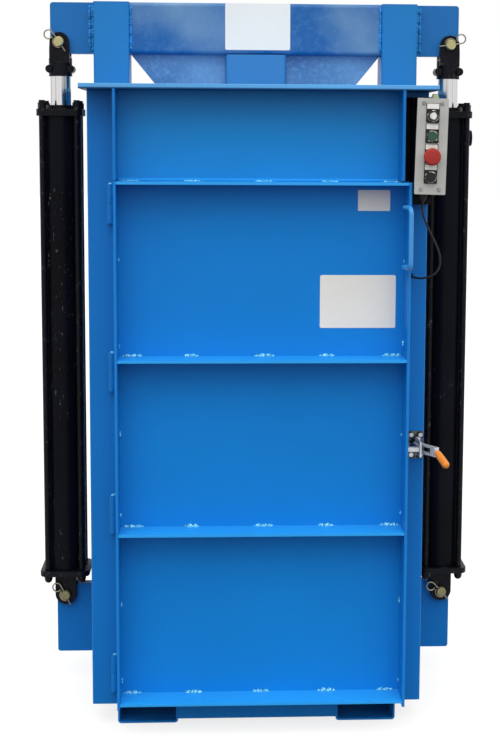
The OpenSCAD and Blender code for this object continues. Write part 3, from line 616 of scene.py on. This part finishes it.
class CRUSHER_OT_stage(bpy.types.Operator):
    """Floor, soft lamp, even light and camera"""

    bl_idname = "crusher.stage"
    bl_label = "Stage"

    def execute(self, context):
        p = context.scene.crusher_stage
        camera_at_door(p.lens)
        bm = bmesh.new()
        bmesh.ops.create_grid(bm, x_segments=1, y_segments=1, size=FLOOR_REACH)
        mesh = bpy.data.meshes.new("floor")
        bm.to_mesh(mesh)
        bm.free()
        floor = bpy.data.objects.new("floor", mesh)
        floor.location.z = -FLOOR_DROP
        mesh.materials.append(floor_material(p.floor, p.bounce))
        context.scene.collection.objects.link(floor)
        lamp = bpy.data.lights.new("key", "SUN")
        lamp.energy = p.key
        lamp.angle = math.radians(LAMP_SPREAD)
        obj = bpy.data.objects.new("key", lamp)
        obj.rotation_euler = Vector(LAMP_WAY).to_track_quat("-Z", "Y").to_euler()
        context.scene.collection.objects.link(obj)
        even_light(p.sky)
        context.scene.view_settings.view_transform = "Standard"
        return {"FINISHED"}


def camera_at_door(lens):
    """Eye height beside the door's left half, turned slightly right and down."""
    yaw, pitch, roll = map(math.radians, (CAMERA_YAW, CAMERA_PITCH, CAMERA_ROLL))
    ahead = Vector((math.sin(yaw) * math.cos(pitch), math.cos(yaw) * math.cos(pitch),
                    -math.sin(pitch)))
    level = Vector((math.cos(yaw), -math.sin(yaw), 0))
    right = level * math.cos(roll) + level.cross(ahead) * math.sin(roll)
    up = right.cross(ahead)
    data = bpy.data.cameras.new("camera")
    data.sensor_width = SENSOR_WIDTH
    data.lens = lens
    data.shift_x, data.shift_y = CAMERA_SHIFT
    cam = bpy.data.objects.new("camera", data)
    turn = Matrix((right, up, -ahead)).transposed().to_4x4()
    cam.matrix_world = Matrix.Translation(CAMERA_PLACE) @ turn
    bpy.context.scene.collection.objects.link(cam)
    bpy.context.scene.camera = cam


def seen_directly(tree):
    """1 for rays from the camera, from a mirror or through glass, and 0 for light."""
    path = tree.nodes.new("ShaderNodeLightPath")
    seen = path.outputs["Is Camera Ray"]
    for name in ("Is Glossy Ray", "Is Transmission Ray"):
        seen = math_step(tree, "MAXIMUM", seen, path.outputs[name])
    return seen


def mixed_shader(tree, mask, first, second):
    """First shader where the mask is 0 and second where it is 1."""
    mix = tree.nodes.new("ShaderNodeMixShader")
    tree.links.new(mask, mix.inputs["Fac"])
    tree.links.new(first, mix.inputs[1])
    tree.links.new(second, mix.inputs[2])
    return mix.outputs["Shader"]


def floor_material(rgb, bounce):
    """Pale floor that keeps the contact shadow and throws little light back."""
    mat, tree, shader = node_material("floor_pale")
    seen = seen_directly(tree)
    pale = tones(tree, object_noise(tree, 1.5, detail=2.0), rgb, (0.3, 0.99), (0.7, 1.0))
    dim = (bounce, bounce, bounce)
    tree.links.new(overlay(tree, dim, seen, pale), shader.inputs["Base Color"])
    shader.inputs["Roughness"].default_value = 0.9
    shader.inputs["Specular IOR Level"].default_value = 0.0
    lift = tree.nodes.new("ShaderNodeEmission")
    lift.inputs["Color"].default_value = (1, 1, 1, 1)
    lift.inputs["Strength"].default_value = 1.0
    both = mixed_shader(tree, math_step(tree, "MULTIPLY", seen, FLOOR_WHITE),
                        shader.outputs["BSDF"], lift.outputs["Emission"])
    tree.links.new(both, tree.nodes["Material Output"].inputs["Surface"])
    return mat


def even_light(level):
    """Light from the upper half of the room, strongest overhead, and a white surround."""
    world = bpy.data.worlds.new("studio")
    world.use_nodes = True
    bpy.context.scene.world = world
    tree = world.node_tree
    height = fade(tree, coordinate(tree, "Z", "Generated"), -0.05, 1.0, *SKY_LEVELS)
    lit = tree.nodes["Background"]
    lit.inputs["Color"].default_value = (1, 1, 1, 1)
    tree.links.new(math_step(tree, "MULTIPLY", height, level), lit.inputs["Strength"])
    white = tree.nodes.new("ShaderNodeBackground")
    white.inputs["Color"].default_value = (1, 1, 1, 1)
    white.inputs["Strength"].default_value = 1.0
    both = mixed_shader(tree, seen_directly(tree), lit.outputs["Background"],
                        white.outputs["Background"])
    tree.links.new(both, tree.nodes["World Output"].inputs["Surface"])


class CRUSHER_OT_cable(bpy.types.Operator):
    """The short cable from the control box to the post"""

    bl_idname = "crusher.cable"
    bl_label = "Control cable"

    def execute(self, context):
        rubber = finish("cable_rubber", srgb("26242a"), rough=0.55, spread=0.1, grain=600.0,
                        relief=0.15, gloss=0.15)
        points = smooth_line([Vector(p) / 1000 for p in CABLE_ROUTE], CABLE_STEPS)
        bm = bmesh.new()
        rings = []
        across = Vector((1, 0, 0))
        for i, here in enumerate(points):
            ahead = (points[min(i + 1, len(points) - 1)] - points[max(i - 1, 0)]).normalized()
            across = (across - ahead * across.dot(ahead)).normalized()
            rings.append(ring(bm, here, CABLE_RADIUS, across, ahead.cross(across), CABLE_SIDES))
        close_tube(bm, rings)
        cable = new_piece("hanging_cable", bm, rubber, "frame")
        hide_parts("control_cable")
        dress(["cable_gland", "cable_grommet"], rubber, 0.0003)
        return {"FINISHED"}


def smooth_line(points, per_span):
    """The same line with extra points on a smooth curve through the given ones."""
    ends = [points[0]] + points + [points[-1]]
    line = [points[0]]
    for a, b, c, d in zip(ends, ends[1:], ends[2:], ends[3:]):
        for k in range(1, per_span + 1):
            t = k / per_span
            line.append(0.5 * ((2 * b) + (c - a) * t + (2 * a - 5 * b + 4 * c - d) * t**2
                               + (3 * b - a - 3 * c + d) * t**3))
    return line


class CRUSHER_OT_frame(bpy.types.Operator):
    """Enamel on the welded frame"""

    bl_idname = "crusher.frame"
    bl_label = "Frame"

    def execute(self, context):
        p = paint()
        dress(["base_plate", "base_bars", "fork_pockets", "corner_posts", "guide_columns",
               "side_sheets", "chamber_liners", "back_sheet", "header_flanges", "lug_plates",
               "frame_knuckles"], worn_enamel("frame_enamel", p.enamel), p.edge_round)
        dress(["header_panel"], worn_enamel("header_enamel", p.enamel_header, 0.2), p.edge_round)
        # The top plate's edge: painted sheen on its upper part, painted shade along its lower edge.
        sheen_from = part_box("top_plate")[0].z + TOP_DARK_EDGE
        dress(["top_plate"],
              edge_sheen_and_shade("top_enamel", p.enamel_top_sheen, shade(p.enamel, 0.35), sheen_from),
              p.edge_round)
        dress(["hinge_pins"], weld_finish("pin_tip_bright", p.weld), 0.0003)
        self.header_lip(worn_enamel("lip_enamel", p.enamel_shelf_lit))
        return {"FINISHED"}

    def header_lip(self, material):
        """Thin strip along the header's lower edge that closes the gap over the door, in the bars'
        brighter blue as painted highlight where the gap's shade would show.
        """
        low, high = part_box("header_panel")
        door_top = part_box("door_sheet")[1].z
        half, back, front = high.x - LIP_INSET, low.y, low.y - LIP_THICK
        bottom, top = door_top + LIP_GAP, low.z + LIP_LAP
        bm = bmesh.new()
        bmesh.ops.create_cube(bm, size=1.0)
        bmesh.ops.scale(bm, vec=(2 * half, back - front, top - bottom), verts=bm.verts)
        bmesh.ops.translate(bm, vec=(0, (back + front) / 2, (bottom + top) / 2), verts=bm.verts)
        bmesh.ops.bevel(bm, geom=bm.edges[:], offset=LIP_ROUND, segments=2, profile=0.5,
                        affect="EDGES")
        new_piece("header_lip", bm, material, "frame", smooth=False)


class CRUSHER_OT_door(bpy.types.Operator):
    """Enamel on the door, its bars and its handle"""

    bl_idname = "crusher.door"
    bl_label = "Door"

    def execute(self, context):
        p = paint()
        for node, title, rgb, gloss, scratches, width in (
            ("door_sheet", "door_enamel", p.enamel_door, 0.14, 30.0, p.edge_round),
            ("door_shelves", "shelf_enamel", p.enamel_shelf_lit, 0.3, 26.0, p.edge_round),
            ("door_flanges", "flange_enamel", p.enamel_flange, 0.2, 26.0, p.edge_round),
            ("door_handle", "handle_enamel", p.enamel_handle_lit, 0.5, 26.0, 0.0),
        ):
            dress([node], worn_enamel(title, rgb, gloss, scratches), width)
        dress(["door_knuckles"], bpy.data.materials["frame_enamel"], p.edge_round)
        return {"FINISHED"}


class CRUSHER_OT_crosshead(bpy.types.Operator):
    """Enamel on the crosshead, guide posts, ram and platen"""

    bl_idname = "crusher.crosshead"
    bl_label = "Crosshead"

    def execute(self, context):
        p = paint()
        for names, title, rgb, gloss in (
            (["guide_posts", "platen"], "ram_enamel", p.enamel_ram, 0.2),
            (["wing_plates"], "wing_shaded_enamel", p.enamel_wing_shaded, 0.12),
            (["ram_tube"], "tube_enamel", p.enamel_tube, 0.4),
        ):
            dress(names, worn_enamel(title, rgb, gloss, 18.0), p.edge_round)
        # Beam and gussets get painted sheen: pale patches and glint specks laid into their colour.
        dress(["crosshead_beam"],
              sheen_patch_enamel("beam_enamel", p.enamel_beam, p.enamel_sheen, gloss=0.3, patch=3.4,
                          glint_share=0.2, reach=(0.46, 0.68)), p.edge_round)
        dress(["gusset_plates"],
              sheen_patch_enamel("gusset_enamel", p.enamel_gusset, p.enamel_gusset_sheen, gloss=0.4, patch=3.6,
                          glint_share=0.6), p.edge_round)
        return {"FINISHED"}


def plated(name, rgb, rough=0.3, spread=0.1, grain=300.0, relief=0.2, metallic=1.0, tone=0.3):
    """Plated or bare metal with a drifting tone."""
    return finish(name, rgb, rough, spread, grain, relief, metallic, tone=tone)


def steel(name, gain=1.0, metallic=1.0):
    """Plated metal in the latch's steel colour, lighter by this gain."""
    return plated(name, shade(paint().steel, gain), grain=420.0, metallic=metallic)


class CRUSHER_OT_cylinders(bpy.types.Operator):
    """Black gloss, chrome and plating on the two cylinders"""

    bl_idname = "crusher.cylinders"
    bl_label = "Cylinders"

    def execute(self, context):
        p = paint()
        wire = plated("clip_zinc", p.clip, rough=0.36, tone=0.4)
        zinc = plated("pin_zinc", p.zinc, rough=0.34, spread=0.12, relief=0.3)
        dull = plated("pin_zinc_dull", shade(p.zinc, 0.4), rough=0.44, spread=0.12, grain=160.0,
                      relief=0.5, metallic=0.8, tone=0.5)
        for names, material, width in (
            (["cylinder_tubes"], tube_black("cylinder_black", p.black), 0.0006),
            (["cylinder_heads", "tie_rods"], rough_cast("head_black", shade(p.black, 0.7)),
             0.0006),
            (["cylinder_caps", "rod_clevises"], rough_cast("cast_black", p.black), 0.0015),
            (["piston_rods"], streaked_chrome("rod_chrome", p.chrome), 0.0004),
            (["pistons"], steel("piston_steel"), 0.0004),
            (["upper_pins"], zinc, 0.0005),
            (["lower_pins"], dull, 0.0005),
            (["upper_clips", "lower_clips"], wire, 0.0),
        ):
            dress(names, material, width)
        return {"FINISHED"}


class CRUSHER_OT_latch(bpy.types.Operator):
    """Plating and grip of the toggle latch"""

    bl_idname = "crusher.latch"
    bl_label = "Latch"

    def execute(self, context):
        p = paint()
        zinc = steel("latch_zinc", 1.1, 0.6)
        vinyl = finish("grip_vinyl", p.orange, rough=0.4, spread=0.08, grain=500.0, relief=0.15)
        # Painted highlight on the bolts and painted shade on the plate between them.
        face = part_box("latch_base")[1].y - PROUD_DEPTH
        dress(["latch_base"], lit_bolts_shaded_plate("base_zinc", p.steel, face), 0.0004)
        dress(["latch_lever", "latch_keeper"], zinc, 0.0004)
        dress(["latch_hook"], zinc, 0.0)
        dress(["latch_grip"], vinyl, 0.0)
        return {"FINISHED"}


class CRUSHER_OT_station(bpy.types.Operator):
    """Control box, devices and bracket"""

    bl_idname = "crusher.station"
    bl_label = "Control station"

    def execute(self, context):
        p = paint()
        dark = finish("device_black", p.black_plastic, rough=0.35, spread=0.1, grain=400.0,
                      relief=0.15, gloss=0.25)
        painted = finish("bracket_black", p.black, rough=0.5, spread=0.1, grain=90.0, relief=0.2,
                         gloss=0.1, tone=0.3)
        cover = finish("cover_enamel", p.box, rough=0.42, spread=0.08, grain=520.0, relief=0.3,
                       tone=0.1)
        knob = faced_knob("knob_black", p.black_plastic, p.label, middle("selector_knob"),
                          radius=0.0078)
        green = finish("button_green", p.green, rough=0.36, spread=0.06, grain=400.0, relief=0.1)
        red = finish("button_red", p.red, rough=0.36, spread=0.06, grain=400.0, relief=0.1,
                     gloss=0.2)
        plug = finish("plug_nylon", p.plug, rough=0.5, spread=0.08, grain=400.0, relief=0.15)
        for names, material, width in (
            (["control_bracket"], painted, 0.0005),
            (["control_box"], painted, 0.0008),
            (["control_cover"], cover, 0.0008),
            (["cover_screws"], steel("screw_steel", 0.6), 0.0003),
            (["legend_plates", "black_button"], dark, 0.0004),
            (["device_bezels"], reflection_patched_chrome("bezel_chrome", srgb("d6d6d6")), 0.0004),
            (["selector_knob"], knob, 0.0004),
            (["green_button"], green, 0.0006),
            (["stop_button"], red, 0.0),
            (["conduit_plug"], plug, 0.0004),
        ):
            dress(names, material, width)
        return {"FINISHED"}


class CRUSHER_OT_power_unit(bpy.types.Operator):
    """Reservoir, motor, manifold and fittings"""

    bl_idname = "crusher.power_unit"
    bl_label = "Power unit"

    def execute(self, context):
        p = paint()
        unit = finish("unit_enamel", p.unit, rough=0.42, spread=0.08, grain=300.0, relief=0.25)
        alloy = finish("manifold_alu", srgb("b9bcbf"), rough=0.34, spread=0.08, grain=350.0,
                       relief=0.2, metallic=1.0)
        cap = finish("cap_black", p.black_plastic, rough=0.45, spread=0.1, grain=300.0, relief=0.2)
        dress(["reservoir", "motor"], unit, 0.0008)
        dress(["valve_manifold"], alloy, 0.0006)
        dress(["filler_cap"], cap, 0.0008)
        dress(["level_gauge"], steel("gauge_steel"), 0.0005)
        return {"FINISHED"}


class CRUSHER_OT_welds(bpy.types.Operator):
    """Stitches on the door's bars and the frame's seams, tacks, and beads on the crosshead"""

    bl_idname = "crusher.welds"
    bl_label = "Welds"

    def execute(self, context):
        w = context.scene.crusher_welds
        p = paint()
        bright = weld_finish("weld_bright", p.weld)
        seam = worn_enamel("seam_weld", shade(p.enamel, 1.15), 0.5, 60.0)
        # Painted highlights: the ram's welds drift to a paler blue in patches.
        ram = sheen_patch_enamel("ram_weld", shade(p.enamel_ram, 0.85), shade(p.enamel_ram, 1.5),
                          gloss=0.3, patch=45.0, glint_share=0.25)
        self.shelf_stitches(w, bright)
        self.side_tacks(w, bright)
        self.seam_stitches(w, seam)
        self.crosshead_beads(w, ram)
        self.lug_beads(w, worn_enamel("frame_weld", p.enamel, 0.4, 60.0))
        return {"FINISHED"}

    # Sines of unlike steps stand for the hand's unevenness, so no two welds are quite alike.

    def bar_pitch(self):
        """Distance from one of the door's bars to the next."""
        low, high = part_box("door_shelves")
        return (high.z - low.z - BAR_THICK) / (BAR_COUNT - 1)

    def shelf_stitches(self, w, material):
        """Five short welds where each bar's top meets the door's sheet."""
        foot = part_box("door_shelves")[0].z
        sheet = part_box("door_sheet")[0].y
        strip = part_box("header_panel")[0].y - LIP_THICK
        pitch = self.bar_pitch()
        bm = bmesh.new()
        for row in range(BAR_COUNT):
            z = foot + row * pitch + BAR_THICK
            for k, x in enumerate(STITCH_PLACES):
                stray = math.sin(7.3 * row + 3.1 * k)
                half = w.stitch / 2 * (1 + 0.14 * stray)
                radius = w.stitch_bead * (1 + 0.12 * math.sin(5.1 * row + 2.7 * k))
                y = sheet - max(0.0, radius - STITCH_SEAT)
                if row == BAR_COUNT - 1:
                    radius = min(radius, TOP_STITCH_BEAD)
                    y = strip - radius - TOP_STITCH_GAP
                centre = x + 0.005 * stray
                bead(bm, (centre - half, y, z), (centre + half, y, z), radius,
                     w.ripple, necks=0.62, phase=2.9 * row + 1.7 * k)
        new_piece("shelf_welds", bm, material, "door")

    def side_tacks(self, w, material):
        """Two small tacks in each bay, where the side flanges meet the sheet."""
        low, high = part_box("door_shelves")
        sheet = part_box("door_sheet")[0].y
        pitch = self.bar_pitch()
        bm = bmesh.new()
        for k in range(2 * (BAR_COUNT - 1)):
            z = low.z + (k // 2 + (0.08, 0.56)[k % 2]) * pitch
            for side, x in ((1, low.x), (-1, high.x)):
                up = z + 0.004 * math.sin(4.0 * k + side)
                half = w.tack / 2 * (1 + 0.3 * math.sin(2.2 * k + side))
                bead(bm, (x, sheet, up - half), (x, sheet, up + half), w.bead * 0.8, w.ripple)
        new_piece("flange_tacks", bm, material, "door")

    def crosshead_beads(self, w, material, inset=0.006):
        """Two passes along each wing and along the beam, where they meet the guide posts."""
        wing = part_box("wing_plates")
        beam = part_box("crosshead_beam")
        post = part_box("guide_posts")
        bm = bmesh.new()
        step = w.band / 4

        def upright(box, x, y, phase):
            bead(bm, (x, y, box[0].z + inset), (x, y, box[1].z - inset), step * 1.15,
                 w.ripple * 1.6, necks=0.4, phase=phase)

        for side in (-1, 1):
            for y in (wing[0].y, wing[1].y):
                for k, along in enumerate((0.9 * step, 2.5 * step)):
                    upright(wing, side * (post[1].x + along), y, k + side)
            for y in (beam[0].y, beam[1].y):
                upright(beam, side * (beam[1].x - 0.6 * step), y, 2 * side)
        new_piece("crosshead_welds", bm, material, "crosshead")

    def seam_stitches(self, w, material, count=7):
        """Painted stitches up the side and back seams and under the top plate."""
        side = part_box("side_sheets")
        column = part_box("guide_columns")
        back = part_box("back_sheet")
        foot, head = side[0].z, side[1].z
        pitch = (head - foot) / count
        bm = bmesh.new()

        def stitch(x, y, z, axis, half):
            start, end = [x, y, z], [x, y, z]
            start[axis] -= half
            end[axis] += half
            bead(bm, start, end, w.bead * 0.9, w.ripple, sides=6)

        seams = [(x, y) for x in (side[0].x, side[1].x)
                 for y in (side[0].y, column[0].y, column[1].y, side[1].y)]
        seams += [(back[0].x, back[1].y), (back[1].x, back[1].y)]
        for k, (x, y) in enumerate(seams):
            for row in range(count):
                z = foot + (row + 0.5 + 0.05 * math.sin(3.0 * row + k)) * pitch
                half = w.stitch / 2 * (1.25 + 0.12 * math.sin(2.0 * row + k))
                stitch(x, y, z, 2, half)
        for x in (side[0].x, side[1].x):
            for y in (0.72 * side[0].y, 0.4 * side[0].y, 0.4 * side[1].y, 0.72 * side[1].y):
                stitch(x, y, head, 1, w.stitch / 2)
        for x in (-0.2, 0.0, 0.2):
            stitch(x, back[1].y, head, 0, w.stitch / 2)
        new_piece("seam_welds", bm, material, "frame")

    def lug_beads(self, w, material, inset=0.004):
        """A full bead up both edges of each cylinder lug, where it meets its column."""
        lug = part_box("lug_plates")
        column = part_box("guide_columns")
        bm = bmesh.new()
        for x in (-column[1].x, column[1].x):
            for y in (lug[0].y, lug[1].y):
                bead(bm, (x, y, lug[0].z + inset), (x, y, lug[1].z - inset), w.bead, w.ripple)
        new_piece("lug_welds", bm, material, "frame")


class CRUSHER_OT_labels(bpy.types.Operator):
    """Blank label places and blank device strips"""

    bl_idname = "crusher.labels"
    bl_label = "Label places"

    def execute(self, context):
        film = finish("label_film", paint().label, rough=0.42, spread=0.06, grain=260.0,
                      relief=0.05, tone=0.02, gloss=0.2)
        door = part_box("door_sheet")[0].y
        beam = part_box("crosshead_beam")[0].y
        label_plate("beam_label", (-0.077, 0.0855), (1.6395, 1.7545), beam, film, "crosshead")
        label_plate("door_label", (0.146, 0.326), (0.974, 1.100), door, film, "door")
        label_plate("door_sticker", (0.234, 0.310), (1.252, 1.301), door, film, "door",
                    corner=0.002)
        self.device_strips(film)
        return {"FINISHED"}

    def device_strips(self, film):
        """One pale field above each device, on the strip that stands on its square plate."""
        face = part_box("legend_plates")[0].y
        centre = middle("control_cover")
        lean = math.radians(DEVICE_LEAN)
        for i in range(DEVICE_COUNT):
            up = ((DEVICE_COUNT - 1) / 2 - i) * DEVICE_PITCH + DEVICE_PLATE / 2 + FIELD_RISE
            x = centre.x + up * math.sin(lean)
            z = centre.z + up * math.cos(lean)
            strip = label_plate(f"device_strip_{i + 1}", (-FIELD_WIDE, FIELD_WIDE),
                                (-FIELD_HIGH, FIELD_HIGH), 0.0, film, "frame",
                                corner=0.001)
            strip.data.transform(Matrix.Translation((x, face, z)) @ Matrix.Rotation(lean, 4, "Y"))


OPERATORS = (
    CRUSHER_OT_stage, CRUSHER_OT_cable, CRUSHER_OT_frame, CRUSHER_OT_door,
    CRUSHER_OT_crosshead, CRUSHER_OT_cylinders, CRUSHER_OT_latch, CRUSHER_OT_station,
    CRUSHER_OT_power_unit, CRUSHER_OT_welds, CRUSHER_OT_labels,
)
GROUPS = (CrusherPaint, CrusherWelds, CrusherStage)


class CRUSHER_PT_panel(bpy.types.Panel):
    """Every part of the crusher's finish"""

    bl_label = "Drum Crusher"
    bl_idname = "CRUSHER_PT_panel"
    bl_space_type = "VIEW_3D"
    bl_region_type = "UI"
    bl_category = "Crusher"

    def draw(self, context):
        for operator in OPERATORS:
            self.layout.operator(operator.bl_idname)


def register():
    for cls in GROUPS + OPERATORS + (CRUSHER_PT_panel,):
        bpy.utils.register_class(cls)
    bpy.types.Scene.crusher_paint = PointerProperty(type=CrusherPaint)
    bpy.types.Scene.crusher_welds = PointerProperty(type=CrusherWelds)
    bpy.types.Scene.crusher_stage = PointerProperty(type=CrusherStage)


def unregister():
    del bpy.types.Scene.crusher_stage
    del bpy.types.Scene.crusher_welds
    del bpy.types.Scene.crusher_paint
    for cls in reversed(GROUPS + OPERATORS + (CRUSHER_PT_panel,)):
        bpy.utils.unregister_class(cls)


def main():
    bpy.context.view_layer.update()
    register()
    for operator in OPERATORS:
        group, name = operator.bl_idname.split(".")
        getattr(getattr(bpy.ops, group), name)()


if __name__ == "__main__":
    main()
